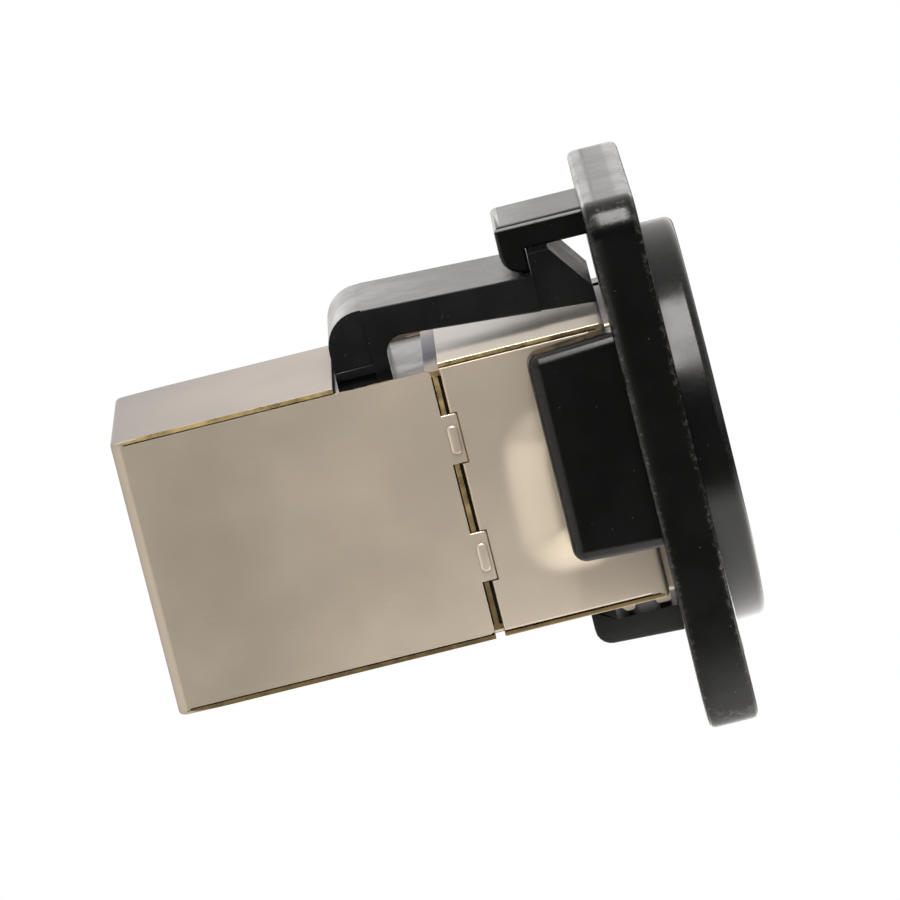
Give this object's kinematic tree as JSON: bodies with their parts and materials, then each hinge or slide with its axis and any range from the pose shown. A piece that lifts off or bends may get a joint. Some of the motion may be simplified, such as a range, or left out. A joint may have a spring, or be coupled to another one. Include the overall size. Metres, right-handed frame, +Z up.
{
  "type": "shielded network socket coupler for a panel",
  "caption": "Inline shielded network coupler: a square black panel flange with a round boss, a nickel-plated shell with a plug socket at each end, and a sprung latch.",
  "frame": {"origin": "centre of the ring in the flange face that bears on the panel", "axes": "+X along the ring's axis, out of the front socket; +Z up, the latch side; Y across"},
  "size_m": [0.0342, 0.026, 0.031],
  "materials": {
    "flange_black": "gloss black on die-cast metal, worn at the edges",
    "shell_nickel": "satin nickel plating on folded sheet",
    "latch_black": "satin black moulding",
    "socket_black": "matt black moulding",
    "contact_gold": "gold plated",
    "board_green": "solder mask on glass laminate"
  },
  "bodies": {
    "root": {"flange_frame": "flange_black", "front_shell": "shell_nickel", "rear_shell": "shell_nickel", "latch_housing": "latch_black", "circuit_board": "board_green", "front_socket": "socket_black", "front_comb": "socket_black", "front_contact_1": "contact_gold", "front_contact_2": "contact_gold", "front_contact_3": "contact_gold", "front_contact_4": "contact_gold", "front_contact_5": "contact_gold", "front_contact_6": "contact_gold", "front_contact_7": "contact_gold", "front_contact_8": "contact_gold", "rear_socket": "socket_black", "rear_comb": "socket_black", "rear_contact_1": "contact_gold", "rear_contact_2": "contact_gold", "rear_contact_3": "contact_gold", "rear_contact_4": "contact_gold", "rear_contact_5": "contact_gold", "rear_contact_6": "contact_gold", "rear_contact_7": "contact_gold", "rear_contact_8": "contact_gold"}
  },
  "joints": []
}
